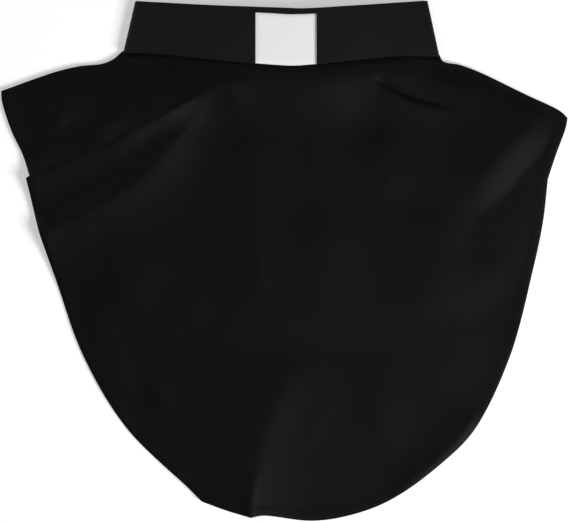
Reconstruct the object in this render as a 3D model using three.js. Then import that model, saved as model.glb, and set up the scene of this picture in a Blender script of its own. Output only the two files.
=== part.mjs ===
// A clerical collar dickey: a black bib shirt front with a tab collar, laid flat with its front up.
// The front panel lies on the two halves of the back, which lap down the centre back. The collar band
// runs round the neck and is pressed flat, so that its front lies over its lapped back ends. A white
// tab sits between the two plies of the band and shows in a window at the front.
// Millimetres, +Z up, the collar towards +Y, the resting surface at Z = 0.
import * as THREE from "three";

// Driving sizes
const CLOTH = 1.0; // wall of a panel and of each ply of the band
const GAP = 0.3; // between pieces that are sewn together or lie on each other
const LAYER = CLOTH + GAP;

const NECK_HALF = 101.3; // half the width of the flattened band along its seam: a 16 inch neck
const BAND_TAPER = 7.8; // how much narrower each side of the band is at its top edge
const COLLAR_SHIFT = -2; // the flattened ring lies this far off the bib's own centre
const BEND_IN = 0.7; // inner radius of the two side folds of the band
const LAP = 12; // each back end and back panel passes the centre by this much

const TAB = { long: 140, thick: 0.8, below: 0.4, above: 33.2 };
const WINDOW = { from: -16.5, to: 22.5, strip: 3.8 }; // in the band's own x; strip is the cloth left above it
const PATCH = { long: 20, tall: 28, thick: 0.5 }; // hook and loop fastener between the lapped ends

// Height of the inside face of the band over its back, over the lap, and under its front
const BAND_WALL = CLOTH + LAYER;
const BACK_FACE = BAND_WALL;
const LAP_LIFT = BAND_WALL + 2 * PATCH.thick + 3 * GAP;
const FRONT_FACE_SIDE = BACK_FACE + 2 * BEND_IN;
const FRONT_FACE_CENTRE = BACK_FACE + LAP_LIFT + GAP;
const TAB_BULGE = TAB.thick + GAP;

// The band's lower and upper edges, by the share of its half width from the centre
const BAND_EDGES = [
  { at: -1.0, seam: 133.2, top: 166.2 },
  { at: -0.75, seam: 132.0, top: 165.0 },
  { at: -0.4, seam: 127.9, top: 163.1 },
  { at: 0.03, seam: 124.3, top: 161.5 },
  { at: 0.15, seam: 124.6, top: 161.2 },
  { at: 0.4, seam: 127.4, top: 162.7 },
  { at: 0.75, seam: 131.0, top: 165.0 },
  { at: 1.0, seam: 130.8, top: 166.5 },
];

// Where the neckline ends, and the shoulder edges from there to the tips
const NECK_ENDS = [-103.6, 99.3];
const LEFT_SHOULDER = [
  [-103.6, 132.9],
  [-109.5, 129.4],
  [-116.5, 126.4],
  [-131, 124.8],
  [-146, 121.3],
  [-181.4, 108.9],
];
const RIGHT_SHOULDER = [
  [99.3, 130.5],
  [101.5, 127.9],
  [112, 125.6],
  [122.8, 121.8],
  [154.9, 106.4],
  [177.2, 95.6],
  [181.3, 91.5],
];

// The front's outer edge from the left tip round the hem to the right tip, in runs between corners.
// neckTo is the share of the neckline that the run's end is opposite.
const FRONT_RUNS = [
  {
    name: "left armhole",
    columns: 7,
    neckTo: 0.36,
    points: [[-181.4, 108.9], [-181.1, 103], [-174.9, 83.4], [-167.8, 68.5], [-162.9, 54.4]],
  },
  { name: "edge of the pleat", columns: 1, neckTo: 0.375, points: [[-162.9, 54.4], [-165.2, 52.9]] },
  {
    name: "left side",
    columns: 21,
    neckTo: 0.48,
    points: [
      [-165.2, 52.9],
      [-158.1, 23.2],
      [-146.6, -11.4],
      [-129, -60.5],
      [-100.9, -107.4],
      [-60.9, -146],
      [-53, -154],
    ],
  },
  { name: "hem to its nick", columns: 4, neckTo: 0.5, points: [[-53, -154], [-37, -159.7], [-21.5, -164.2]] },
  {
    name: "hem and right side",
    columns: 36,
    neckTo: 0.7,
    points: [
      [-21.5, -164.2],
      [-14, -162.9],
      [16.8, -166.5],
      [40, -163.4],
      [66.6, -153.8],
      [100, -130],
      [122, -107.6],
      [144.4, -61.3],
      [158.8, -7.5],
      [165.6, 25],
      [168.7, 52.6],
    ],
  },
  {
    name: "right armhole",
    columns: 7,
    neckTo: 1,
    points: [[168.7, 52.6], [173.8, 68], [180.2, 85.6], [181.3, 91.5]],
  },
];

// One half of the back, from the shoulder tip down the armhole and along the hem to its lap edge.
// side is -1 for the left half. The edge keeps inside the front's.
const backRuns = (side) => [
  {
    name: "armhole",
    columns: 6,
    neckTo: 0.5,
    points: [
      side < 0 ? [-179.6, 107.3] : [179, 91.5],
      side < 0 ? [-172, 86] : [171.5, 75],
      [side * 158, 58],
    ],
  },
  {
    name: "side and hem",
    columns: 14,
    neckTo: 1,
    points: [
      [side * 158, 58],
      [side * 146, 24],
      [side * 128, -6],
      [side * 98, -22],
      [side * 50, -28],
      [-side * LAP, -30],
    ],
  },
];

// The largest folds of the front. bow is how far the crest bends to the left of its way; wide is the
// fold's reach to the left and to the right of the crest; fade is the share of its length over which
// it dies away at each end, and 0 where it runs out over the edge.
const FOLDS = [
  { name: "pleat roll", from: [-168, 47], to: [-24, 123], bow: -9, height: 4.2, wide: [2.6, 10], fade: [0, 0.45] },
  { name: "roll below it", from: [-160, 17], to: [-36, 104], bow: -11, height: 2.8, wide: [7, 9], fade: [0.05, 0.5] },
  { name: "shoulder crest", from: [-176, 98], to: [-118, 112], bow: 0, height: 1.6, wide: [9, 9], fade: [0.3, 0.5] },
  { name: "collar tuck", from: [60, 113], to: [112, 100], bow: -5, height: 2.4, wide: [4, 8], fade: [0.3, 0.5] },
  { name: "tip roll", from: [180, 80], to: [104, 0], bow: 5, height: 5, wide: [13, 11], fade: [0, 0.5] },
  { name: "hem roll", from: [-20, -172], to: [12, -68], bow: 13, height: 3.6, wide: [4, 14], fade: [0, 0.5] },
  { name: "low roll", from: [74, -128], to: [56, -66], bow: 3, height: 2, wide: [7, 9], fade: [0.4, 0.5] },
  { name: "hem lift", from: [132, -98], to: [70, -156], bow: 5, height: 2.2, wide: [8, 7], fade: [0.3, 0.3] },
  { name: "centre swell", from: [-84, -20], to: [-30, -38], bow: 0, height: 1.6, wide: [24, 24], fade: [0.5, 0.5] },
];
const FLAT_AT_SEAMS = 16; // folds and the collar's lift die away this close to a shoulder edge
const COLLAR_REACH = 44; // how far below its seam the collar still lifts the front
const DRAPE_OFF = 26; // the front comes down to the surface over this much past the back's edge

const smooth = (t) => THREE.MathUtils.smoothstep(t, 0, 1);
const { lerp } = THREE.MathUtils;

// The value of a table's column at a place between its rows, on a smooth curve through them
function column(table, key, at) {
  const last = table.length - 1;
  const next = Math.min(last, Math.max(1, table.findIndex((row) => row.at >= at)));
  const i = at > table[last].at ? last - 1 : next - 1;
  const slope = (k) => {
    const a = table[Math.max(0, k - 1)];
    const b = table[Math.min(last, k + 1)];
    return (b[key] - a[key]) / (b.at - a.at);
  };
  const step = table[i + 1].at - table[i].at;
  const t = THREE.MathUtils.clamp((at - table[i].at) / step, 0, 1);
  const [a, b] = [table[i][key], table[i + 1][key]];
  return (
    a * (2 * t ** 3 - 3 * t ** 2 + 1) +
    b * (3 * t ** 2 - 2 * t ** 3) +
    step * slope(i) * (t ** 3 - 2 * t ** 2 + t) +
    step * slope(i + 1) * (t ** 3 - t ** 2)
  );
}
const seamAt = (x) => column(BAND_EDGES, "seam", (x - COLLAR_SHIFT) / NECK_HALF);
const topAt = (x) => column(BAND_EDGES, "top", (x - COLLAR_SHIFT) / NECK_HALF);

// A plan curve through points, as a function of the share of its length
function planCurve(points) {
  const curve = new THREE.CatmullRomCurve3(points.map(([x, y]) => new THREE.Vector3(x, y, 0)));
  curve.arcLengthDivisions = 60 * points.length;
  return (share) => curve.getPointAt(share);
}

// A closed wall between two grids of points, grid[column][row], of which over lies above under.
// Cells where open(column, row) is true are left out.
function wall(under, over, open = () => false) {
  const columns = under.length - 1;
  const rows = under[0].length - 1;
  const position = [];
  const triangle = (...corners) => corners.forEach((p) => position.push(p.x, p.y, p.z));
  const quad = (a, b, c, d) => {
    triangle(a, b, c);
    triangle(a, c, d);
  };
  const filled = (i, j) => i >= 0 && j >= 0 && i < columns && j < rows && !open(i, j);
  for (let i = 0; i < columns; i++) {
    for (let j = 0; j < rows; j++) {
      if (!filled(i, j)) continue;
      quad(over[i][j], over[i][j + 1], over[i + 1][j + 1], over[i + 1][j]);
      quad(under[i][j], under[i + 1][j], under[i + 1][j + 1], under[i][j + 1]);
      if (!filled(i - 1, j)) quad(over[i][j], under[i][j], under[i][j + 1], over[i][j + 1]);
      if (!filled(i + 1, j)) quad(over[i + 1][j + 1], under[i + 1][j + 1], under[i + 1][j], over[i + 1][j]);
      if (!filled(i, j - 1)) quad(over[i + 1][j], under[i + 1][j], under[i][j], over[i][j]);
      if (!filled(i, j + 1)) quad(over[i][j + 1], under[i][j + 1], under[i + 1][j + 1], over[i + 1][j + 1]);
    }
  }
  const geometry = new THREE.BufferGeometry();
  geometry.setAttribute("position", new THREE.Float32BufferAttribute(position, 3));
  geometry.computeVertexNormals();
  return geometry;
}

// The plan grid of a panel between its neckline and its outer edge, with its two other edges as sides
function planGrid({ neck, runs, sides, rows }) {
  const outer = [];
  runs.forEach((run, k) => {
    const along = planCurve(run.points);
    const neckFrom = k ? runs[k - 1].neckTo : 0;
    for (let i = k ? 1 : 0; i <= run.columns; i++) {
      const share = i / run.columns;
      outer.push({ point: along(share), neck: lerp(neckFrom, run.neckTo, share) });
    }
  });
  const count = outer.length - 1;
  const [first, last] = sides.map(planCurve);
  return outer.map(({ point, neck: share }, i) => {
    const u = i / count;
    const top = neck(share);
    return rows.map((v) => {
      const blend = (axis) => {
        const edges = lerp(top[axis], point[axis], v) + lerp(first(v)[axis], last(v)[axis], u);
        const near = lerp(neck(0)[axis], neck(1)[axis], u);
        const far = lerp(outer[0].point[axis], outer[count].point[axis], u);
        return edges - lerp(near, far, v);
      };
      return new THREE.Vector3(blend("x"), blend("y"), 0);
    });
  });
}

// Rows of a panel from its neckline to its outer edge, closer together near both
const panelRows = (count) =>
  Array.from({ length: count + 1 }, (_, j) => {
    const v = j / count;
    return lerp(v, smooth(v), 0.35);
  });

// A panel lying with its underside at height(x, y)
function layPanel(plan, height) {
  const under = plan.map((line) => line.map((p) => new THREE.Vector3(p.x, p.y, height(p.x, p.y))));
  const step = 0.5;
  const over = under.map((line) =>
    line.map((p) => {
      const slope = Math.hypot(
        (height(p.x + step, p.y) - p.z) / step,
        (height(p.x, p.y + step) - p.z) / step,
      );
      return new THREE.Vector3(p.x, p.y, p.z + CLOTH * Math.min(1.6, Math.hypot(1, slope)));
    }),
  );
  return wall(under, over);
}

// Distance from a plan point to a chain of points
function distanceTo(chain, x, y) {
  let best = Infinity;
  for (let i = 1; i < chain.length; i++) {
    const [ax, ay] = chain[i - 1];
    const [dx, dy] = [chain[i][0] - ax, chain[i][1] - ay];
    const along = ((x - ax) * dx + (y - ay) * dy) / (dx * dx + dy * dy || 1);
    const t = THREE.MathUtils.clamp(along, 0, 1);
    best = Math.min(best, Math.hypot(x - ax - t * dx, y - ay - t * dy));
  }
  return best;
}

// Height of one fold over the cloth around it
function foldHeight({ from, to, bow, height, wide, fade }, x, y) {
  const [dx, dy] = [to[0] - from[0], to[1] - from[1]];
  const long = Math.hypot(dx, dy);
  const along = ((x - from[0]) * dx + (y - from[1]) * dy) / long ** 2;
  const t = THREE.MathUtils.clamp(along, 0, 1);
  const left = ((y - from[1]) * dx - (x - from[0]) * dy) / long - 4 * bow * t * (1 - t);
  const across = Math.exp(-((left / (left > 0 ? wide[0] : wide[1])) ** 2));
  const start = fade[0] ? smooth(along / fade[0]) : 1;
  const end = fade[1] ? smooth((1 - along) / fade[1]) : 1;
  return height * start * end * across;
}

// Heights that the layers under the front leave it, in the band's own x for the collar
const lapRise = (x) => smooth((x + 45) / 29); // the left back end climbs onto the right one
const frontFace = (x) => lerp(FRONT_FACE_SIDE, FRONT_FACE_CENTRE, smooth((80 - Math.abs(x)) / 62));
const tabBulge = (x) => TAB_BULGE * smooth((TAB.long / 2 + 16 - Math.abs(x - 3)) / 12);

const neckHeight = (x) => frontFace(x - COLLAR_SHIFT) + 0.9 + 0.8 * tabBulge(x - COLLAR_SHIFT);

const backEdge = (side) => {
  const chain = backRuns(side).flatMap(({ points }) => {
    const curve = planCurve(points);
    return Array.from({ length: 13 }, (_, k) => curve(k / 12)).map((p) => [p.x, p.y]);
  });
  return side < 0 ? chain : chain.reverse();
};
const BACK_OUTLINE = [...backEdge(-1), ...backEdge(1), [99, 131], [0, 140], [-103, 133]];
BACK_OUTLINE.push(BACK_OUTLINE[0]);

function insideBack(x, y) {
  let inside = false;
  for (let i = 1; i < BACK_OUTLINE.length; i++) {
    const [[ax, ay], [bx, by]] = [BACK_OUTLINE[i - 1], BACK_OUTLINE[i]];
    if (ay > y !== by > y && x < ax + ((y - ay) / (by - ay)) * (bx - ax)) inside = !inside;
  }
  return inside;
}

const nearShoulder = (x, y) =>
  smooth((Math.min(distanceTo(LEFT_SHOULDER, x, y), distanceTo(RIGHT_SHOULDER, x, y)) - 1) / FLAT_AT_SEAMS);
const belowCollar = (x, y, reach) => smooth(1 - (seamAt(x) - 2 - y) / reach);

// The back's left half climbs onto the right half at the lap, and both rise to the band's ends
const leftBackHeight = (x, y) =>
  LAYER * smooth((x + 44) / 26) + (LAP_LIFT - LAYER) * lapRise(x + 4) * belowCollar(x, y, 34);
const rightBackHeight = () => 0;

function frontHeight(x, y) {
  const past = insideBack(x, y) ? 0 : distanceTo(BACK_OUTLINE, x, y);
  const overBack = LAYER * smooth(1.04 - past / DRAPE_OFF);
  const overLap = LAYER * smooth((64 - Math.abs(x)) / 44) * smooth((y + 62) / 32);
  const collar = Math.max(0, neckHeight(x) - 2 * LAYER) * belowCollar(x, y, COLLAR_REACH);
  const folds = FOLDS.reduce((sum, fold) => sum + foldHeight(fold, x, y), 0);
  const free = nearShoulder(x, y);
  const neck = smooth((seamAt(x) - y) / 14);
  return overBack + overLap * free + collar * free + folds * free * neck;
}

// The neckline of a panel, just below the band's seam, from one x to another
const neckline = (from, to) => (share) => {
  const x = lerp(from, to, share);
  return new THREE.Vector3(x, seamAt(x) - GAP, 0);
};

// Front panel
const frontPlan = planGrid({
  neck: neckline(...NECK_ENDS),
  runs: FRONT_RUNS,
  sides: [LEFT_SHOULDER, RIGHT_SHOULDER],
  rows: panelRows(17),
});

// Back halves: each shoulder edge follows the front's, just inside it
function backPlan(side) {
  const shoulder = side < 0 ? LEFT_SHOULDER : RIGHT_SHOULDER;
  const tip = backRuns(side)[0].points[0];
  const neckX = shoulder[0][0] - side;
  const lapX = -side * LAP;
  const lap = [
    [lapX, seamAt(lapX) - GAP],
    [lapX, -30],
  ];
  const edge = [[neckX, seamAt(neckX) - GAP], ...shoulder.slice(1, -1).map(([x, y]) => [x - side, y - 1]), tip];
  const plan = planGrid({
    neck: neckline(neckX, lapX),
    runs: backRuns(side),
    sides: [edge, lap],
    rows: panelRows(10),
  });
  return side < 0 ? plan : plan.reverse();
}

// The inside face of the band, from its lower back end round the front to its upper back end.
// Each station has its place in the band's own x and z, and the way out of the neck.
function bandPath() {
  const bendOut = BEND_IN + BAND_WALL;
  const bendX = NECK_HALF - bendOut;
  const midZ = BACK_FACE + BEND_IN;
  const stations = [];
  const run = (from, to, steps, z) => {
    for (let k = 0; k < steps; k++) {
      const x = lerp(from, to, k / steps);
      stations.push({ x, z: z(x) });
    }
  };
  const bend = (side) => {
    const steps = 7;
    for (let k = 0; k < steps; k++) {
      const angle = (Math.PI * k) / steps;
      const way = side > 0 ? -Math.cos(angle) : Math.cos(angle);
      stations.push({ x: side * (bendX + BEND_IN * Math.sin(angle)), z: midZ + BEND_IN * way });
    }
  };
  run(-LAP, bendX, 14, () => BACK_FACE);
  bend(1);
  run(bendX, WINDOW.to, 12, frontFace);
  run(WINDOW.to, WINDOW.from, 6, frontFace);
  run(WINDOW.from, -bendX, 12, frontFace);
  bend(-1);
  run(-bendX, LAP, 20, (x) => BACK_FACE + LAP_LIFT * lapRise(x));
  stations.push({ x: LAP, z: BACK_FACE + LAP_LIFT });
  return stations.map((here, k) => {
    const a = stations[Math.max(0, k - 1)];
    const b = stations[Math.min(stations.length - 1, k + 1)];
    const long = Math.hypot(b.x - a.x, b.z - a.z);
    return { ...here, outX: (b.z - a.z) / long, outZ: -(b.x - a.x) / long };
  });
}
const BAND_PATH = bandPath();
const isFront = (station) => station.outZ > 0.5;

// The plan height of the window's upper edge as a share of the band's height
const WINDOW_SHARE = 1 - WINDOW.strip / (topAt(1) - seamAt(1));

// A point of the band: a station, the share of its height, and how far out from the inside face
function bandPoint(station, share, out) {
  const x = station.x + station.outX * out;
  const taper = BAND_TAPER * share * (x / NECK_HALF) ** 3;
  return new THREE.Vector3(
    x - taper + COLLAR_SHIFT,
    lerp(seamAt(x + COLLAR_SHIFT), topAt(x + COLLAR_SHIFT), share),
    station.z + station.outZ * out,
  );
}

// A ply of the band between two distances from the inside face, with rows at shares of its height
function bandPly(inner, outer, rows, open) {
  const face = (out) => BAND_PATH.map((s) => rows.map((share) => bandPoint(s, share, out(s))));
  return wall(face(inner), face(outer), open);
}
const bulgeAt = (station) => (isFront(station) ? tabBulge(station.x) : 0);
const outerBandShape = bandPly(
  (s) => LAYER + bulgeAt(s),
  (s) => BAND_WALL + bulgeAt(s),
  [0, 0.45, WINDOW_SHARE, 1],
  (i, j) =>
    j < 2 &&
    isFront(BAND_PATH[i]) &&
    Math.max(BAND_PATH[i].x, BAND_PATH[i + 1].x) < WINDOW.to + 0.01 &&
    Math.min(BAND_PATH[i].x, BAND_PATH[i + 1].x) > WINDOW.from - 0.01,
);
const innerBandShape = bandPly(
  () => 0,
  () => CLOTH,
  [0, 0.5, 1],
);

// The tab, a strip between the plies that follows the band's curve
function tabShape() {
  const steps = 28;
  const middle = (WINDOW.from + WINDOW.to) / 2;
  const side = (out) =>
    Array.from({ length: steps + 1 }, (_, k) => {
      const x = middle + (k / steps - 0.5) * TAB.long;
      return [TAB.below, TAB.above].map(
        (up) => new THREE.Vector3(x + COLLAR_SHIFT, seamAt(x + COLLAR_SHIFT) + up, frontFace(x) + LAYER + out),
      );
    });
  return wall(side(0).reverse(), side(TAB.thick).reverse());
}

// One of the two fastener patches, at a height between the lapped ends of the band
function patchShape(bottom) {
  const middleY = (seamAt(COLLAR_SHIFT) + topAt(COLLAR_SHIFT)) / 2;
  return new THREE.BoxGeometry(PATCH.long, PATCH.tall, PATCH.thick).translate(
    COLLAR_SHIFT,
    middleY,
    bottom + PATCH.thick / 2,
  );
}

const dickey = new THREE.Group();
function piece(name, geometry, color, roughness) {
  const mesh = new THREE.Mesh(geometry, new THREE.MeshStandardMaterial({ color, roughness, metalness: 0 }));
  mesh.name = name;
  dickey.add(mesh);
}
const BLACK = 0x151516;
const WHITE = 0xe8e8e8;
piece("front_bib", layPanel(frontPlan, frontHeight), BLACK, 0.85);
piece("back_left", layPanel(backPlan(-1), leftBackHeight), BLACK, 0.85);
piece("back_right", layPanel(backPlan(1), rightBackHeight), BLACK, 0.85);
piece("collar_band_outer", outerBandShape, BLACK, 0.8);
piece("collar_band_inner", innerBandShape, BLACK, 0.8);
piece("collar_tab", tabShape(), WHITE, 0.35);
piece("fastener_loop", patchShape(BACK_FACE + GAP), BLACK, 0.95);
piece("fastener_hook", patchShape(BACK_FACE + 2 * GAP + PATCH.thick), BLACK, 0.9);

export default dickey;
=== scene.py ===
import math

import bmesh
import bpy
import numpy as np
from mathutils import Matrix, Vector


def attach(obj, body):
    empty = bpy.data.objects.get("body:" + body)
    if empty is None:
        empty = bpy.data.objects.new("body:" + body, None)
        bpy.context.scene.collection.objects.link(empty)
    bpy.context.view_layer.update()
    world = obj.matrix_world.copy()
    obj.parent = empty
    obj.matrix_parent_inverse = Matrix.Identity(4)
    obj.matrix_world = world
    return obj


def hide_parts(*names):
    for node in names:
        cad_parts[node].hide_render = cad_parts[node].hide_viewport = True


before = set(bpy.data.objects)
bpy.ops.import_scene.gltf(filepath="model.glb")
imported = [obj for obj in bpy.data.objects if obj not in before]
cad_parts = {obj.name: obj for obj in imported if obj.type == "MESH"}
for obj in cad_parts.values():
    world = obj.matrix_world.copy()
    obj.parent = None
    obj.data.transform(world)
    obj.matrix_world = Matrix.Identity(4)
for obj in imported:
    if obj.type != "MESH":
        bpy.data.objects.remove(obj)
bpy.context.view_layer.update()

# ---------------------------------------------------------------------------------------------
# Front bib. One panel of black poly-cotton shirting, cut as a rounded shield with two shoulder
# wings and a shallow neckline, its outer edge turned under and stitched. It lies on the two back
# halves and on the table, with a pleat rolled in from the left armhole and loose creases below.
MM = 0.001
CLOTH = 1.0
GAP = 0.3
LAYER = CLOTH + GAP

NECK_HALF = 101.3
COLLAR_SHIFT = -2
BEND_IN = 0.7
LAP = 12
PATCH_LONG, PATCH_TALL, PATCH_THICK = 20, 28, 0.5
BAND_WALL = CLOTH + LAYER
BACK_FACE = BAND_WALL
LAP_LIFT = BAND_WALL + 2 * PATCH_THICK + 3 * GAP
FRONT_FACE_SIDE = BACK_FACE + 2 * BEND_IN
FRONT_FACE_CENTRE = BACK_FACE + LAP_LIFT + GAP
TAB_LONG, TAB_THICK = 140, 0.8
TAB_BULGE = TAB_THICK + GAP

# The collar band's seam and top edge, by the share of its half width from the middle
BAND_EDGES = np.array(
    [
        # at, seam, top
        (-1.0, 133.2, 166.2),
        (-0.75, 132.0, 165.0),
        (-0.4, 127.9, 163.1),
        (0.03, 124.3, 161.5),
        (0.15, 124.6, 161.2),
        (0.4, 127.4, 162.7),
        (0.75, 131.0, 165.0),
        (1.0, 130.8, 166.5),
    ]
)
LEFT_SHOULDER = [
    (-103.6, 132.9),
    (-109.5, 129.4),
    (-116.5, 126.4),
    (-131, 124.8),
    (-146, 121.3),
    (-181.4, 108.9),
]
RIGHT_SHOULDER = [
    (99.3, 130.5),
    (101.5, 127.9),
    (112, 125.6),
    (122.8, 121.8),
    (154.9, 106.4),
    (177.2, 95.6),
    (181.3, 91.5),
]
# The outer edge from the left wing's tip round the hem to the right one's, in runs between corners
FRONT_RUNS = [
    # columns, share of the neckline opposite the run's end, points
    (7, 0.36, [(-181.4, 108.9), (-181.1, 103), (-174.9, 83.4), (-167.8, 68.5), (-162.9, 54.4)]),
    (1, 0.375, [(-162.9, 54.4), (-165.2, 52.9)]),
    (
        21,
        0.48,
        [
            (-165.2, 52.9),
            (-158.1, 23.2),
            (-146.6, -11.4),
            (-129, -60.5),
            (-100.9, -107.4),
            (-60.9, -146),
            (-53, -154),
        ],
    ),
    (4, 0.5, [(-53, -154), (-37, -159.7), (-21.5, -164.2)]),
    (
        36,
        0.7,
        [
            (-21.5, -164.2),
            (-14, -162.9),
            (16.8, -166.5),
            (40, -163.4),
            (66.6, -153.8),
            (100, -130),
            (122, -107.6),
            (144.4, -61.3),
            (158.8, -7.5),
            (165.6, 25),
            (168.7, 52.6),
        ],
    ),
    (7, 1.0, [(168.7, 52.6), (173.8, 68), (180.2, 85.6), (181.3, 91.5)]),
]
# Folds of the front in millimetres, main ones first. bow is how far the crest bends to the left of
# its way. The fold reaches wide_l and wide_r to each side. It dies away over fade_a and fade_b of its
# length, and 0 runs it over the edge. A negative height is a trough.
FRONT_FOLDS = [
    # from, to, bow, height, wide_l, wide_r, fade_a, fade_b
    # the left wing and the pleat rolled in from its armhole
    ((-172, 50), (-18, 127), -4, 4.8, 8, 12, 0, 0.4),
    ((-130, 77), (-50, 113), -2, 4.4, 26, 12, 0.4, 0.4),
    ((-170, 14), (-40, 110), -12, 5.2, 9, 17, 0, 0.4),
    ((-138, 74), (-62, 109), -2, -2.2, 15, 5, 0.3, 0.3),
    ((-154, 28), (-70, 76), -6, -1.0, 5, 4, 0.1, 0.4),
    ((-170, 92), (-120, 112), 0, 1.2, 12, 16, 0.3, 0.4),
    ((-118, 110), (-76, 109), 1, -1.4, 10, 6, 0.4, 0.4),
    ((-150, 96), (-140, 84), 0, 1.1, 8, 7, 0.5, 0.5),
    ((-118, 99), (-80, 101), 2, 0.6, 5, 5, 0.4, 0.4),
    ((-158, 62), (-112, 76), 2, 0.5, 3, 6, 0.2, 0.5),
    ((-164, 36), (-120, 48), -2, 0.5, 4, 5, 0, 0.5),
    ((-34, 122), (-32, 88), 0, 1.0, 10, 12, 0.3, 0.5),
    ((-158, 26), (-140, -20), 0, 0.9, 10, 9, 0.2, 0.3),
    ((-128, 22), (-108, 6), 0, -0.5, 10, 10, 0.5, 0.5),
    # between the collar and the right wing
    ((56, 119), (122, 98), -5, -1.4, 2.4, 2.6, 0.12, 0.6),
    ((58, 113), (116, 94), -5, 1.2, 6, 10, 0.3, 0.5),
    ((34, 112), (70, 82), -3, -0.8, 8, 8, 0.5, 0.5),
    ((58, 86), (72, 34), 0, 1.4, 14, 16, 0.35, 0.4),
    ((178, 60), (104, -2), 3, -2.6, 10, 24, 0, 0.4),
    ((176, 102), (106, 26), -3, 3.4, 20, 19, 0.35, 0.4),
    # down the right side
    ((102, 44), (80, -42), 5, 1.4, 20, 22, 0.3, 0.4),
    ((113, -34), (106, -80), 0, 0.8, 15, 14, 0.35, 0.4),
    ((158, -4), (138, -76), 3, 0.6, 8, 10, 0.3, 0.3),
    ((126, -92), (62, -154), 5, 2.0, 7, 11, 0.2, 0.3),
    # up from the hem
    ((-21, -174), (24, -44), 14, 4.3, 40, 20, 0, 0.45),
    ((-22, -174), (-14, -128), 3, 0.9, 3, 3, 0, 0.5),
    ((34, -74), (4, -128), 3, 0.5, 7, 9, 0.2, 0.45),
    ((72, -132), (58, -60), 3, 0.9, 12, 12, 0.4, 0.5),
    ((34, -136), (27, -166), 0, -1.6, 13, 13, 0.4, 0.2),
    ((-86, -128), (-66, -150), 0, 1.0, 9, 9, 0.4, 0.3),
    # across the middle and the left side
    ((-20, 98), (-14, -44), 0, 1.7, 15, 16, 0.2, 0.3),
    ((-62, -14), (-58, -42), 0, 1.2, 13, 13, 0.4, 0.5),
    ((24, 40), (20, -40), 0, 1.2, 22, 20, 0.35, 0.4),
    ((-104, 20), (-92, -44), 0, 1.5, 20, 20, 0.4, 0.4),
    ((-128, -20), (-96, -100), 0, 1.4, 14, 16, 0.25, 0.3),
    ((-84, -66), (-76, -104), 0, 1.2, 10, 9, 0.4, 0.4),
]


def smooth(t):
    t = np.clip(t, 0, 1)
    return t * t * (3 - 2 * t)


def lerp(a, b, t):
    return a + (b - a) * t


def column(table, key, at):
    """A table's column at places between its rows, on a smooth curve through them."""
    rows, values = table[:, 0], table[:, key]
    last = len(rows) - 1
    spans = [(max(0, k - 1), min(last, k + 1)) for k in range(last + 1)]
    slope = np.array([(values[b] - values[a]) / (rows[b] - rows[a]) for a, b in spans])
    i = np.clip(np.searchsorted(rows, at) - 1, 0, last - 1)
    step = rows[i + 1] - rows[i]
    t = np.clip((at - rows[i]) / step, 0, 1)
    return (
        values[i] * (2 * t**3 - 3 * t**2 + 1)
        + values[i + 1] * (3 * t**2 - 2 * t**3)
        + step * slope[i] * (t**3 - 2 * t**2 + t)
        + step * slope[i + 1] * (t**3 - t**2)
    )


def seam_at(x):
    return column(BAND_EDGES, 1, (np.asarray(x, float) - COLLAR_SHIFT) / NECK_HALF)


def top_at(x):
    return column(BAND_EDGES, 2, (np.asarray(x, float) - COLLAR_SHIFT) / NECK_HALF)


def plan_curve(points):
    """A smooth line through points, as a function of the share of its length."""
    p = np.array(points, float)
    p = np.vstack([2 * p[0] - p[1], p, 2 * p[-1] - p[-2]])
    line = []
    for k in range(1, len(p) - 2):
        chords = np.linalg.norm(np.diff(p[k - 1 : k + 3], axis=0), axis=1)
        knots = np.concatenate([[0], np.cumsum(np.sqrt(chords))])
        t = np.linspace(knots[1], knots[2], 40)[:, None]

        def between(low, high, start, end):
            return (knots[high] - t) / (knots[high] - knots[low]) * start + (t - knots[low]) / (
                knots[high] - knots[low]
            ) * end

        a = [between(j, j + 1, p[k - 1 + j], p[k + j]) for j in range(3)]
        b = [between(j, j + 2, a[j], a[j + 1]) for j in range(2)]
        line.append(between(1, 2, b[0], b[1]))
    line = np.vstack(line)
    along = np.concatenate([[0], np.cumsum(np.linalg.norm(np.diff(line, axis=0), axis=1))])
    return lambda share: np.stack(
        [np.interp(np.asarray(share) * along[-1], along, line[:, k]) for k in (0, 1)], axis=-1
    )


def plan_grid(neck, runs, sides, rows, finer):
    """Plan points [column, row] of a panel between its neckline and its outer edge."""
    outer, shares, neck_from = [], [], 0.0
    for k, (columns, neck_to, points) in enumerate(runs):
        share = np.linspace(0, 1, columns * finer + 1)[(1 if k else 0) :]
        outer.append(plan_curve(points)(share))
        shares.append(lerp(neck_from, neck_to, share))
        neck_from = neck_to
    outer, shares = np.vstack(outer), np.concatenate(shares)
    u = np.linspace(0, 1, len(outer))[:, None, None]
    v = rows[None, :, None]
    top, ends = neck(shares)[:, None, :], neck(np.array([0.0, 1.0]))
    # the sides start where the tucked neckline ends, so that they don't pull it down
    first, last = (
        plan_curve([tuple(end)] + list(side[1:]))(rows)[None] for end, side in zip(ends, sides)
    )
    edges = lerp(top, outer[:, None, :], v) + lerp(first, last, u)
    return edges - lerp(lerp(ends[0], ends[1], u), lerp(outer[0], outer[-1], u), v)


def panel_rows(count, edge_mm, long_mm):
    """Rows from the neckline to the outer edge, with extra ones across the turned hem."""
    v = np.linspace(0, 1 - edge_mm / long_mm, count + 1)
    near = np.array([5.6, 4.6, 3.0, 1.5, 0.7, 0.3, 0.0])
    return np.concatenate([v, 1 - near / long_mm])


def distance_to(chain, x, y):
    """Distance from plan points to a chain of points."""
    best = np.full(np.shape(x), 1e9)
    for a, b in zip(chain[:-1], chain[1:]):
        d = b - a
        t = np.clip(((x - a[0]) * d[0] + (y - a[1]) * d[1]) / max(d @ d, 1e-9), 0, 1)
        best = np.minimum(best, np.hypot(x - a[0] - t * d[0], y - a[1] - t * d[1]))
    return best


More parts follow.
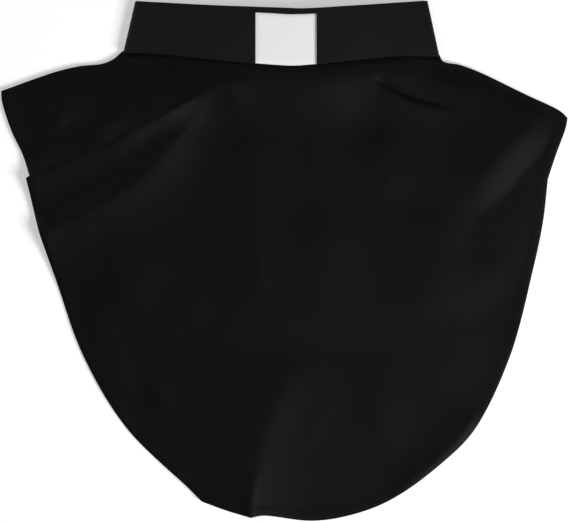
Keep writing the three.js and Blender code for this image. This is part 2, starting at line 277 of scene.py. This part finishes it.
def inside(chain, x, y):
    found = np.zeros(np.shape(x), bool)
    for a, b in zip(chain[:-1], chain[1:]):
        crosses = (a[1] > y) != (b[1] > y)
        slant = (b[0] - a[0]) / (b[1] - a[1] if abs(b[1] - a[1]) > 1e-9 else 1e-9)
        found ^= crosses & (x < a[0] + (y - a[1]) * slant)
    return found


def fold_height(fold, x, y):
    start, end, bow, height, wide_l, wide_r, fade_a, fade_b = fold
    dx, dy = end[0] - start[0], end[1] - start[1]
    long = math.hypot(dx, dy)
    along = ((x - start[0]) * dx + (y - start[1]) * dy) / long**2
    t = np.clip(along, 0, 1)
    left = ((y - start[1]) * dx - (x - start[0]) * dy) / long - 4 * bow * t * (1 - t)
    across = np.exp(-(np.abs(left / np.where(left > 0, wide_l, wide_r)) ** 1.6))
    a = smooth(along / fade_a) if fade_a else 1.0
    b = smooth((1 - along) / fade_b) if fade_b else 1.0
    return height * a * b * across


def front_face(x):
    """Height of the inside of the band's front, which bridges the lapped ends behind it."""
    return lerp(FRONT_FACE_SIDE, FRONT_FACE_CENTRE, smooth((80 - np.abs(x)) / 62))


def tab_bulge(x):
    return TAB_BULGE * smooth((TAB_LONG / 2 + 24 - np.abs(x - 3)) / 24)


def neck_height(x):
    return front_face(x - COLLAR_SHIFT) + 0.9 + 0.8 * tab_bulge(x - COLLAR_SHIFT)


def back_runs(side):
    """Half of the back, from the shoulder tip down the armhole and along the hem to its lap edge."""
    tip = (-179.6, 107.3) if side < 0 else (179, 91.5)
    chest = (-172, 86) if side < 0 else (171.5, 75)
    hem = [(158, 58), (146, 24), (128, -6), (98, -22), (50, -28)]
    return [
        (6, 0.5, [tip, chest, (side * 158, 58)]),
        (14, 1.0, [(side * x, y) for x, y in hem] + [(-side * LAP, -30)]),
    ]


def back_chain(side):
    chain = np.vstack([plan_curve(points)(np.linspace(0, 1, 13)) for _, _, points in back_runs(side)])
    return chain if side < 0 else chain[::-1]


BACK_OUTLINE = np.vstack([back_chain(-1), back_chain(1), [(99, 131), (0, 140), (-103, 133)]])
BACK_OUTLINE = np.vstack([BACK_OUTLINE, BACK_OUTLINE[:1]])
front_edge = np.vstack([plan_curve(points)(np.linspace(0, 1, 60)) for _, _, points in FRONT_RUNS])
SHOULDERS = [np.array(LEFT_SHOULDER, float), np.array(RIGHT_SHOULDER, float)]


def below_collar(x, y, reach):
    return smooth(1 - (seam_at(x) - 2 - y) / reach)


def front_height(x, y):
    """Height of the front's underside over the table."""
    past = np.where(inside(BACK_OUTLINE, x, y), 0, distance_to(BACK_OUTLINE, x, y))
    over_back = LAYER * smooth(1.04 - past / 26)
    over_lap = LAYER * smooth((64 - np.abs(x)) / 44) * smooth((y + 62) / 32)
    collar = np.maximum(0, neck_height(x) - 2 * LAYER) * below_collar(x, y, 44)
    shoulder = np.minimum(*[distance_to(s, x, y) for s in SHOULDERS])
    free = smooth((shoulder - 1) / 16)
    neck = smooth((seam_at(x) - y) / 14)
    # the cloth stands a little off what it lies on, so that troughs can sink between the ridges
    stand = 1.4 * smooth(distance_to(front_edge, x, y) / 60) * smooth(shoulder / 30)
    relief = stand + sum(fold_height(fold, x, y) for fold in FRONT_FOLDS)
    relief = np.where(relief < 0.5, 0.5 * np.exp(np.minimum(0, relief - 0.5) / 0.5) - 0.18, relief - 0.18)
    return over_back + (over_lap + collar) * free + np.maximum(relief, 0) * smooth((shoulder - 1) / 7) * neck


def neckline(start, end, tuck):
    """Points just under the band's seam, from one x to another."""

    def place(share):
        x = lerp(start, end, share)
        # past the ends of the tab there is room to tuck it deeper
        deep = 1.1 * smooth((np.abs(x - 3) - 72) / 8) if tuck > 0 else 0
        return np.stack([x, seam_at(x) + tuck + deep], axis=-1)

    return place


def clear_selection():
    bpy.ops.object.select_all(action="DESELECT")


def new_piece(name, points, faces, flat_points=None):
    """A mesh object of points in millimetres, with a cloth map in metres that follows the weave."""
    mesh = bpy.data.meshes.new(name)
    mesh.from_pydata([tuple(p) for p in np.asarray(points) * MM], [], faces)
    piece = bpy.data.objects.new(name, mesh)
    bpy.context.scene.collection.objects.link(piece)
    if flat_points is not None:
        layer = mesh.uv_layers.new(name="cloth")
        corner = np.empty(len(mesh.loops), np.int32)
        mesh.loops.foreach_get("vertex_index", corner)
        layer.data.foreach_set("uv", (np.asarray(flat_points)[corner] * MM).astype(np.float32).ravel())
    return piece


def sheet_piece(name, grid, flat_grid, thick, open_cell=None, angle=50):
    """A sheet of cloth on a grid of points at its mid thickness, with a wall and softened edges."""
    columns, rows = grid.shape[0] - 1, grid.shape[1] - 1
    number = np.arange((columns + 1) * (rows + 1)).reshape(columns + 1, rows + 1)
    faces = [
        (number[i, j], number[i, j + 1], number[i + 1, j + 1], number[i + 1, j])
        for i in range(columns)
        for j in range(rows)
        if open_cell is None or not open_cell(i, j)
    ]
    faces = [tuple(int(n) for n in face) for face in faces]
    piece = new_piece(name, grid.reshape(-1, 3), faces, flat_grid.reshape(-1, 2))
    work = bmesh.new()
    work.from_mesh(piece.data)
    bmesh.ops.delete(work, geom=[v for v in work.verts if not v.link_faces], context="VERTS")
    work.to_mesh(piece.data)
    work.free()
    wall_and_edge(piece, thick, 0.28 * thick, 2, angle)
    return piece


def wall_and_edge(piece, thick, eased, segments, angle):
    """Gives a sheet its wall, thick mm in all, with eased edges, and shades it smooth."""
    wall = piece.modifiers.new("wall", "SOLIDIFY")
    wall.thickness = thick * MM
    wall.offset = 0
    edge = piece.modifiers.new("edge", "BEVEL")
    edge.width = eased * MM
    edge.segments = segments
    edge.limit_method = "ANGLE"
    edge.angle_limit = math.radians(60)
    clear_selection()
    piece.select_set(True)
    bpy.context.view_layer.objects.active = piece
    for modifier in list(piece.modifiers):
        bpy.ops.object.modifier_apply(modifier=modifier.name)
    bpy.ops.object.shade_smooth_by_angle(angle=math.radians(angle))
    clear_selection()


def linear(hex_colour):
    """An sRGB hex colour as linear red, green, blue and alpha."""
    parts = [int(hex_colour[k : k + 2], 16) / 255 for k in (1, 3, 5)]
    return tuple(c / 12.92 if c <= 0.04045 else ((c + 0.055) / 1.055) ** 2.4 for c in parts) + (1.0,)


def add_node(material, kind, settings=None, inputs=None, links=None):
    """Adds a node: settings are its own values, inputs its sockets' values, links socket to output."""
    node = material.node_tree.nodes.new(kind)
    for key, value in (settings or {}).items():
        setattr(node, key, value)
    for key, value in (inputs or {}).items():
        node.inputs[key].default_value = value
    for key, output in (links or {}).items():
        material.node_tree.links.new(output, node.inputs[key])
    return node


def mix_colours(material, first, second, factor):
    settings = {"data_type": "RGBA"}
    colours = {"A": linear(first), "B": linear(second)}
    return add_node(material, "ShaderNodeMix", settings, colours, {"Factor": factor})


def new_material(name):
    material = bpy.data.materials.new(name)
    material.use_nodes = True
    material.node_tree.nodes.clear()
    return material


def shirting(name, dark, light, roughness, gloss, thread_mm):
    """Plain-woven poly-cotton, piece-dyed black. Up close the threads cross over and under; from a
    step back it is an even matt black that catches a soft sheen where a fold turns to the light."""
    m = new_material(name)
    uv = add_node(m, "ShaderNodeUVMap", {"uv_map": "cloth"})
    threads = []
    for direction in ("X", "Y"):
        wave = add_node(
            m,
            "ShaderNodeTexWave",
            {"wave_type": "BANDS", "bands_direction": direction, "wave_profile": "SIN"},
            # a wave texture's band is 2 pi / 20 long at scale 1
            {"Scale": math.pi / 10 / (thread_mm * MM), "Distortion": 0.6, "Detail": 1.0, "Detail Scale": 2.0},
            {"Vector": uv.outputs["UV"]},
        )
        threads.append(wave.outputs["Fac"])
    weave = add_node(m, "ShaderNodeMath", {"operation": "MAXIMUM"}, None, {0: threads[0], 1: threads[1]})
    # slubs and lint make a soft cloudy fleck 2 to 3 mm across
    fleck = add_node(
        m,
        "ShaderNodeTexNoise",
        None,
        {"Scale": 420.0, "Detail": 3.0, "Roughness": 0.6},
        {"Vector": uv.outputs["UV"]},
    )
    # worn and pressed areas differ a little over 40 mm
    cloud = add_node(
        m, "ShaderNodeTexNoise", None, {"Scale": 24.0, "Detail": 2.0}, {"Vector": uv.outputs["UV"]}
    )
    half_cloud = add_node(
        m, "ShaderNodeMath", {"operation": "MULTIPLY"}, {1: 0.5}, {0: cloud.outputs["Fac"]}
    )
    tone = add_node(
        m,
        "ShaderNodeMath",
        {"operation": "MULTIPLY_ADD"},
        {1: 0.5},
        {0: fleck.outputs["Fac"], 2: half_cloud.outputs[0]},
    )
    colour = mix_colours(m, dark, light, tone.outputs[0])
    rough = add_node(
        m,
        "ShaderNodeMapRange",
        None,
        {"To Min": roughness - 0.05, "To Max": roughness + 0.05},
        {"Value": fleck.outputs["Fac"]},
    )
    fine = add_node(
        m, "ShaderNodeBump", None, {"Strength": 0.35, "Distance": 0.00006}, {"Height": weave.outputs[0]}
    )
    relief = add_node(
        m,
        "ShaderNodeBump",
        None,
        {"Strength": 0.3, "Distance": 0.00012},
        {"Height": fleck.outputs["Fac"], "Normal": fine.outputs["Normal"]},
    )
    cloth = add_node(
        m,
        "ShaderNodeBsdfPrincipled",
        None,
        {
            "IOR": 1.45,
            "Specular IOR Level": gloss,
            "Sheen Weight": 0.01,
            "Sheen Roughness": 0.5,
            "Sheen Tint": linear("#b8b8bc"),
        },
        {
            "Base Color": colour.outputs["Result"],
            "Roughness": rough.outputs["Result"],
            "Normal": relief.outputs["Normal"],
        },
    )
    add_node(m, "ShaderNodeOutputMaterial", None, None, {"Surface": cloth.outputs["BSDF"]})
    return m


black_shirting = shirting("poly_cotton_shirting_black", "#040404", "#080808", 0.54, 0.106, 0.7)

front_rows = panel_rows(96, 6.6, 262)
front_neck = neckline(LEFT_SHOULDER[0][0], RIGHT_SHOULDER[0][0], 0.25)
front_plan = plan_grid(front_neck, FRONT_RUNS, [LEFT_SHOULDER, RIGHT_SHOULDER], front_rows, 4)
fx, fy = front_plan[..., 0], front_plan[..., 1]
from_edge = distance_to(front_edge, fx, fy)
HEM = 5.5
hem_rise = 0.2 * smooth((HEM + 1.0 - from_edge) / 2.0) - 0.25 * smooth((1.4 - from_edge) / 1.4)
front_z = front_height(fx, fy) + CLOTH / 2 + hem_rise
front_z -= 0.55 * smooth((fy - seam_at(fx) + 3) / 3)
front = sheet_piece("front_cloth", np.dstack([fx, fy, front_z]), front_plan, 0.9)
front.data.materials.append(black_shirting)
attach(front, "root")
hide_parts("front_bib")

# ---------------------------------------------------------------------------------------------
# Back halves. Two plain panels of the same shirting, joined to the front along the shoulders and
# lapping each other down the centre back, where the dickey opens. They end above the waist.


def left_back_height(x, y):
    lift = (LAP_LIFT - LAYER) * smooth((x + 4 + 45) / 29) * below_collar(x, y, 34)
    return LAYER * smooth((x + 44) / 26) + lift


def back_piece(name, side, height):
    shoulder = LEFT_SHOULDER if side < 0 else RIGHT_SHOULDER
    runs = back_runs(side)
    neck_x, lap_x = shoulder[0][0] - side, -side * LAP
    lap = [(lap_x, float(seam_at(lap_x)) - GAP), (lap_x, -30)]
    neck_corner = (neck_x, float(seam_at(neck_x)) - GAP)
    edge = [neck_corner] + [(x - side, y - 1) for x, y in shoulder[1:-1]] + [runs[0][2][0]]
    plan = plan_grid(neckline(neck_x, lap_x, -GAP), runs, [edge, lap], panel_rows(40, 6.6, 160), 4)
    if side > 0:
        plan = plan[::-1]
    x, y = plan[..., 0], plan[..., 1]
    grid = np.dstack([x, y, height(x, y) + CLOTH / 2])
    piece = sheet_piece(name, grid, plan, 0.9)
    piece.data.materials.append(black_shirting)
    return piece


back_left = back_piece("back_cloth_left", -1, left_back_height)
back_right = back_piece("back_cloth_right", 1, lambda x, y: 0 * x)
for piece, node, under in ((back_left, "back_left", ["back_cloth_right"]), (back_right, "back_right", [])):
    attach(piece, "root")
    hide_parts(node)

# ---------------------------------------------------------------------------------------------
# Collar band. Two plies of the shirting fused to a stiffener, seamed along the top edge and pressed
# flat at both sides. The outer ply has a square window at the front, and the band is edge-stitched.
BAND_TAPER = 7.8
WINDOW_FROM, WINDOW_TO, WINDOW_STRIP = -16.5, 22.5, 3.8


def lap_rise(x):
    return smooth((x + 45) / 29)


def band_path():
    """Stations along the inside face, from the lower back end round the front to the upper end."""
    bend_x = NECK_HALF - BEND_IN - BAND_WALL
    mid_z = BACK_FACE + BEND_IN
    turn = np.linspace(0, math.pi, 15)[:-1]
    low = np.linspace(-LAP, bend_x, 57)[:-1]
    front = np.concatenate(
        [
            np.linspace(bend_x, WINDOW_TO, 41)[:-1],
            np.linspace(WINDOW_TO, WINDOW_FROM, 25)[:-1],
            np.linspace(WINDOW_FROM, -bend_x, 41)[:-1],
        ]
    )
    high = np.linspace(-bend_x, LAP, 69)
    x = [low, bend_x + BEND_IN * np.sin(turn), front, -bend_x - BEND_IN * np.sin(turn), high]
    z = [
        0 * low + BACK_FACE,
        mid_z - BEND_IN * np.cos(turn),
        front_face(front),
        mid_z + BEND_IN * np.cos(turn),
        BACK_FACE + LAP_LIFT * lap_rise(high),
    ]
    x, z = np.concatenate(x), np.concatenate(z)
    dx, dz = np.gradient(x), np.gradient(z)
    long = np.hypot(dx, dz)
    is_front = -dx / long > 0.5
    return x, z, dz / long, -dx / long, is_front


PATH_X, PATH_Z, OUT_X, OUT_Z, IS_FRONT = band_path()
PATH_LONG = np.concatenate([[0], np.cumsum(np.hypot(np.diff(PATH_X), np.diff(PATH_Z)))])


def band_grid(out, shares):
    """Points of the band out from its inside face, at shares of its height, and their flat places."""
    x = (PATH_X + OUT_X * out)[:, None]
    z = (PATH_Z + OUT_Z * out)[:, None]
    share = np.asarray(shares)[None, :]
    seam, top = seam_at(x + COLLAR_SHIFT), top_at(x + COLLAR_SHIFT)
    px = x - BAND_TAPER * share * (x / NECK_HALF) ** 3 + COLLAR_SHIFT
    flat = np.dstack([PATH_LONG[:, None] + 0 * share, 35 * share + 0 * x])
    return np.dstack([px, lerp(seam, top, share), z + 0 * share]), flat


BAND_TALL = float(top_at(1) - seam_at(1))
WINDOW_SHARE = 1 - WINDOW_STRIP / BAND_TALL
bulge = np.where(IS_FRONT, tab_bulge(PATH_X), 0)
low_shares = np.concatenate([[0, 0.012, 0.03], np.linspace(0.07, WINDOW_SHARE - 0.05, 14), [WINDOW_SHARE]])
high_shares = np.linspace(WINDOW_SHARE, 1, 6)[1:]
band_shares = np.concatenate([low_shares, high_shares])


def in_window(i, j):
    low, high = sorted((PATH_X[i], PATH_X[i + 1]))
    across = low > WINDOW_FROM - 0.01 and high < WINDOW_TO + 0.01
    return bool(IS_FRONT[i] and j < len(low_shares) - 1 and across)


collar_cloth = shirting("poly_cotton_fused_black", "#060606", "#0b0b0b", 0.5, 0.172, 0.7)
outer_grid, outer_flat = band_grid(LAYER + CLOTH / 2 + bulge, band_shares)
# the outer ply isn't quite smooth over the stiffener, and has a few soft swells
BAND_SWELLS = [
    # x, y, high, wide
    (-46, 137, 0.7, 13),
    (-84, 150, 0.4, 14),
    (52, 146, 0.7, 17),
    (84, 138, 0.4, 12),
]
for swell_x, swell_y, high, wide in BAND_SWELLS:
    away = (outer_grid[..., 0] - swell_x) ** 2 + (outer_grid[..., 1] - swell_y) ** 2
    swell = high * np.exp(-away / wide**2)
    outer_grid[..., 2] += np.where(IS_FRONT[:, None], swell, 0)
band_outer = sheet_piece("collar_cloth_outer", outer_grid, outer_flat, 0.9, in_window)
inner_grid, inner_flat = band_grid(CLOTH / 2, np.linspace(0, 1, 15))
band_inner = sheet_piece("collar_cloth_inner", inner_grid, inner_flat, 0.9)
for piece, node in ((band_outer, "collar_band_outer"), (band_inner, "collar_band_inner")):
    piece.data.materials.append(collar_cloth)
    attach(piece, "root")
    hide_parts(node)

# ---------------------------------------------------------------------------------------------
# Collar tab. A strip of white polypropylene sheet, 0.8 mm thick with eased edges, slid between the
# two plies so that its middle fills the window. It takes the band's curve.


def placed_grid(name, columns, rows, at):
    """A grid primitive whose unit square is laid where at(u, v) says, in millimetres."""
    clear_selection()
    bpy.ops.mesh.primitive_grid_add(x_subdivisions=columns, y_subdivisions=rows, size=1)
    piece = bpy.context.object
    piece.name = name
    co = np.empty(len(piece.data.vertices) * 3)
    piece.data.vertices.foreach_get("co", co)
    co = co.reshape(-1, 3)
    piece.data.vertices.foreach_set("co", (at(co[:, 0] + 0.5, co[:, 1] + 0.5) * MM).ravel())
    clear_selection()
    return piece


def tab_point(u, v):
    x = (WINDOW_FROM + WINDOW_TO) / 2 + (u - 0.5) * TAB_LONG
    # the strip narrows past the window, so that its ends stay well down between the plies
    narrow = 5 * smooth((np.abs(x - (WINDOW_FROM + WINDOW_TO) / 2) - 20.5) / 9)
    y = seam_at(x + COLLAR_SHIFT) + lerp(0.45 + narrow, 33.2 - narrow, v)
    return np.stack([x + COLLAR_SHIFT, y, front_face(x) + LAYER + TAB_THICK / 2], axis=-1)


def smooth_plastic(name, colour, roughness):
    """Extruded polypropylene sheet: clean white, a soft gloss, with faint roller ripple and dust."""
    m = new_material(name)
    place = add_node(m, "ShaderNodeTexCoord")
    spot = {"Vector": place.outputs["Object"]}
    ripple = add_node(m, "ShaderNodeTexNoise", None, {"Scale": 160.0, "Detail": 2.0}, spot)
    dust = add_node(m, "ShaderNodeTexNoise", None, {"Scale": 900.0, "Detail": 3.0}, spot)
    specks = add_node(
        m,
        "ShaderNodeMapRange",
        None,
        {"From Min": 0.55, "From Max": 0.9, "To Max": 0.6},
        {"Value": dust.outputs["Fac"]},
    )
    tone = mix_colours(m, colour, "#dedede", specks.outputs[0])
    rough = add_node(
        m,
        "ShaderNodeMapRange",
        None,
        {"To Min": roughness - 0.04, "To Max": roughness + 0.06},
        {"Value": ripple.outputs["Fac"]},
    )
    bump = add_node(
        m, "ShaderNodeBump", None, {"Strength": 0.2, "Distance": 0.00003}, {"Height": ripple.outputs["Fac"]}
    )
    plastic = add_node(
        m,
        "ShaderNodeBsdfPrincipled",
        None,
        {"IOR": 1.49, "Specular IOR Level": 0.4, "Subsurface Weight": 0.0},
        {
            "Base Color": tone.outputs["Result"],
            "Roughness": rough.outputs["Result"],
            "Normal": bump.outputs["Normal"],
        },
    )
    add_node(m, "ShaderNodeOutputMaterial", None, None, {"Surface": plastic.outputs["BSDF"]})
    return m


tab = placed_grid("tab_strip", 84, 10, tab_point)
wall_and_edge(tab, TAB_THICK, 0.2, 3, 40)
tab.data.materials.clear()
tab.data.materials.append(smooth_plastic("polypropylene_sheet_white", "#e9e9e9", 0.35))
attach(tab, "root")
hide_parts("collar_tab")

# ---------------------------------------------------------------------------------------------
# Fastener patches. Two pads of woven hook and loop tape, sewn flat to the facing sides of the
# band's lapped ends, one over the other.


def tape(name, colour, grain_mm, lift):
    """Nylon fastener tape: a dull black ground under a dense pile that scatters light."""
    m = new_material(name)
    place = add_node(m, "ShaderNodeTexCoord")
    pile = add_node(
        m,
        "ShaderNodeTexVoronoi",
        {"feature": "F1"},
        {"Scale": 1 / (grain_mm * MM), "Randomness": lift},
        {"Vector": place.outputs["Object"]},
    )
    tone = mix_colours(m, colour, "#0c0c0c", pile.outputs["Distance"])
    bump = add_node(
        m,
        "ShaderNodeBump",
        {"invert": True},
        {"Strength": 0.7, "Distance": 0.0003},
        {"Height": pile.outputs["Distance"]},
    )
    nylon = add_node(
        m,
        "ShaderNodeBsdfPrincipled",
        None,
        {"Roughness": 0.85, "Specular IOR Level": 0.25, "Sheen Weight": 0.15},
        {"Base Color": tone.outputs["Result"], "Normal": bump.outputs["Normal"]},
    )
    add_node(m, "ShaderNodeOutputMaterial", None, None, {"Surface": nylon.outputs["BSDF"]})
    return m


patch_y = float(seam_at(COLLAR_SHIFT) + top_at(COLLAR_SHIFT)) / 2
loop_tape = tape("nylon_loop_tape_black", "#1c1c1c", 0.6, 1.0)
hook_tape = tape("nylon_hook_tape_black", "#171717", 1.1, 0.15)
for name, node, level, finish in (
    ("loop_pad", "fastener_loop", BACK_FACE + GAP, loop_tape),
    ("hook_pad", "fastener_hook", BACK_FACE + 2 * GAP + PATCH_THICK, hook_tape),
):
    middle = level + PATCH_THICK / 2

    def pad_point(u, v):
        rounded = 1 - 0.06 * smooth((np.abs(u - 0.5) - 0.4) / 0.1) * smooth((np.abs(v - 0.5) - 0.4) / 0.1)
        x = COLLAR_SHIFT + (u - 0.5) * PATCH_LONG * rounded
        y = patch_y + (v - 0.5) * PATCH_TALL * rounded
        return np.stack([x, y, middle + 0 * x], axis=-1)

    pad = placed_grid(name, 20, 28, pad_point)
    wall_and_edge(pad, PATCH_THICK, 0.12, 2, 40)
    pad.data.materials.clear()
    pad.data.materials.append(finish)
    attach(pad, "root")
    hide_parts(node)

# ---------------------------------------------------------------------------------------------
# Stitching. Black polyester thread, lockstitched round the hem 5 mm in and along the top of the
# band's front. Each stitch is a short rounded grain that sinks at both ends.
STITCH_LONG, STITCH_PITCH, STITCH_WIDE = 2.1, 2.7, 0.34
ON_CLOTH = 0.45  # from the middle of the cloth to the middle of the thread
thread = new_material("polyester_thread_black")
thread_place = add_node(thread, "ShaderNodeTexCoord")
thread_twist = add_node(
    thread, "ShaderNodeTexNoise", None, {"Scale": 2500.0}, {"Vector": thread_place.outputs["Object"]}
)
thread_tone = mix_colours(thread, "#080808", "#0e0e0e", thread_twist.outputs["Fac"])
thread_look = add_node(
    thread,
    "ShaderNodeBsdfPrincipled",
    None,
    {"Roughness": 0.6, "Specular IOR Level": 0.12},
    {"Base Color": thread_tone.outputs["Result"]},
)
add_node(thread, "ShaderNodeOutputMaterial", None, None, {"Surface": thread_look.outputs["BSDF"]})


def stitch_row(name, line, normals):
    """Copies of one stitch along a line of points in millimetres, with the surface normal at each."""
    clear_selection()
    bpy.ops.mesh.primitive_uv_sphere_add(segments=6, ring_count=5, radius=0.5)
    model = bpy.context.object
    co = np.array([v.co[:] for v in model.data.vertices])
    faces = [tuple(p.vertices) for p in model.data.polygons]
    bpy.data.objects.remove(model)
    along = np.concatenate([[0], np.cumsum(np.linalg.norm(np.diff(line, axis=0), axis=1))])
    count = int(along[-1] // STITCH_PITCH)
    places = (np.arange(count) + 0.5) * along[-1] / count

    def at(where, values):
        return np.stack([np.interp(where, along, values[:, k]) for k in range(3)], axis=-1)

    centre, normal = at(places, line), at(places, normals)
    ahead = at(places + 0.5, line) - at(places - 0.5, line)
    ahead /= np.linalg.norm(ahead, axis=1)[:, None]
    normal -= (normal * ahead).sum(1)[:, None] * ahead
    normal /= np.linalg.norm(normal, axis=1)[:, None]
    side = np.cross(normal, ahead)
    shape = co[None] * np.array([STITCH_WIDE, STITCH_WIDE * 0.8, STITCH_LONG])
    points = centre[:, None] + shape[..., 2:] * ahead[:, None]
    points = points + shape[..., :1] * side[:, None] + shape[..., 1:2] * normal[:, None]
    every = [tuple(n + k * len(co) for n in face) for k in range(count) for face in faces]
    piece = new_piece(name, points.reshape(-1, 3), every)
    clear_selection()
    piece.select_set(True)
    bpy.context.view_layer.objects.active = piece
    bpy.ops.object.shade_smooth()
    clear_selection()
    piece.data.materials.append(thread)
    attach(piece, "root")
    return piece


def grid_line(grid, flat_row_values):
    """A line across a grid's columns at a row position that need not be whole, with its normals."""
    i = np.arange(grid.shape[0])
    low = np.clip(np.floor(flat_row_values).astype(int), 0, grid.shape[1] - 2)
    part = (flat_row_values - low)[:, None]
    line = lerp(grid[i, low], grid[i, low + 1], part)
    across = np.gradient(grid, axis=0)[i, low]
    down = np.gradient(grid, axis=1)[i, low]
    normal = -np.cross(across, down)
    return line, normal / np.linalg.norm(normal, axis=1)[:, None]


front_grid = np.dstack([fx, fy, front_z])
row_numbers = np.arange(front_grid.shape[1])
hem_at = np.array([np.interp(-4.6, -d[::1], row_numbers) for d in from_edge])
hem_line, hem_normal = grid_line(front_grid, hem_at)
keep = slice(3, -3)
hem_stitches = stitch_row("hem_stitches", (hem_line + ON_CLOTH * hem_normal)[keep], hem_normal[keep])

front_part = np.where(IS_FRONT)[0]
top_share = np.interp(1 - 2.5 / BAND_TALL, band_shares, np.arange(len(band_shares)))
top_line, top_normal = grid_line(outer_grid, np.full(len(PATH_X), top_share))
top_thread = top_line + ON_CLOTH * top_normal
band_stitches = stitch_row("band_stitches", top_thread[front_part], top_normal[front_part])

# ---------------------------------------------------------------------------------------------
# Studio. The dickey lies on a white table, seen from straight above, under a large soft lamp from
# the lower right, a weaker one from the upper left, a small one overhead and a dim pale surround.
floor_look = new_material("table_white")
ray = add_node(floor_look, "ShaderNodeLightPath")
seen = add_node(
    floor_look,
    "ShaderNodeMath",
    {"operation": "MAXIMUM"},
    None,
    {
        0: ray.outputs["Is Camera Ray"],
        1: add_node(
            floor_look,
            "ShaderNodeMath",
            {"operation": "MAXIMUM"},
            None,
            {0: ray.outputs["Is Glossy Ray"], 1: ray.outputs["Is Transmission Ray"]},
        ).outputs[0],
    },
)
matt = add_node(floor_look, "ShaderNodeBsdfDiffuse", None, {"Color": linear("#e4e4e4")})
lift = add_node(floor_look, "ShaderNodeMath", {"operation": "MULTIPLY"}, {1: 0.3}, {0: seen.outputs[0]})
glow = add_node(
    floor_look, "ShaderNodeEmission", None, {"Color": (1, 1, 1, 1)}, {"Strength": lift.outputs[0]}
)
both = add_node(floor_look, "ShaderNodeAddShader", None, None, {0: matt.outputs[0], 1: glow.outputs[0]})
add_node(floor_look, "ShaderNodeOutputMaterial", None, None, {"Surface": both.outputs[0]})
clear_selection()
bpy.ops.mesh.primitive_plane_add(size=8, location=(0, 0, -0.0002))
floor = bpy.context.object
floor.name = "table"
floor.data.materials.append(floor_look)

world = bpy.data.worlds.new("surround")
bpy.context.scene.world = world
world.use_nodes = True
world.node_tree.nodes["Background"].inputs["Color"].default_value = linear("#f4f4f4")
world.node_tree.nodes["Background"].inputs["Strength"].default_value = 0.1


def soft_lamp(name, azimuth, elevation, distance, size, watts):
    """A square lamp that faces the origin. Azimuth 0 is the hem's side and 90 the right."""
    a, e = math.radians(azimuth), math.radians(elevation)
    place = Vector((math.sin(a) * math.cos(e), -math.cos(a) * math.cos(e), math.sin(e))) * distance
    data = bpy.data.lights.new(name, "AREA")
    data.shape = "SQUARE"
    data.size = size
    data.energy = watts
    lamp = bpy.data.objects.new(name, data)
    lamp.location = place
    lamp.rotation_euler = (-place).to_track_quat("-Z", "Y").to_euler()
    bpy.context.scene.collection.objects.link(lamp)


soft_lamp("key_lamp", azimuth=58, elevation=36, distance=1.8, size=0.8, watts=40)
soft_lamp("fill_lamp", azimuth=-125, elevation=30, distance=2.0, size=1.2, watts=13)
soft_lamp("top_lamp", azimuth=0, elevation=86, distance=2.6, size=0.5, watts=6)

# the picture is as wide as the dickey and a hair more
CAMERA_HIGH = 1.7
PICTURE_WIDE = 0.3642
camera = bpy.data.objects.new("camera", bpy.data.cameras.new("camera"))
camera.location = (0, 0, CAMERA_HIGH)
camera.data.sensor_width = 36
camera.data.lens = camera.data.sensor_width * (CAMERA_HIGH - 0.003) / PICTURE_WIDE
camera.data.clip_end = 50
bpy.context.scene.collection.objects.link(camera)
bpy.context.scene.camera = camera
bpy.context.scene.view_settings.view_transform = "Standard"
